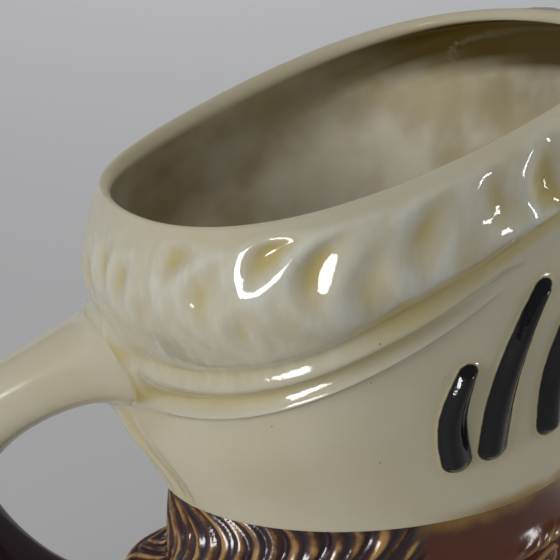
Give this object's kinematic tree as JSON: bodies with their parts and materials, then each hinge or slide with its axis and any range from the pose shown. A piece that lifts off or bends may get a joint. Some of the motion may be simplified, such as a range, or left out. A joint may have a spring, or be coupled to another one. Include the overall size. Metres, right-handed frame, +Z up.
{
  "type": "figural jug",
  "caption": "Hollow glazed jug shaped as a head in a cocked hat, open at the crown, with a pouring lip at the front and a strap handle behind.",
  "frame": {"origin": "on the surface that the jug stands on, under the middle of its bounding box", "axes": "+Z up; -Y the way the face looks; +Y towards the handle; +X the head's left"},
  "size_m": [0.1172, 0.1878, 0.2156],
  "materials": {
    "cream_glaze": "gloss",
    "brown_glaze": "gloss",
    "black_glaze": "gloss"
  },
  "bodies": {
    "root": {"carafe_body": "cream_glaze"}
  },
  "joints": []
}
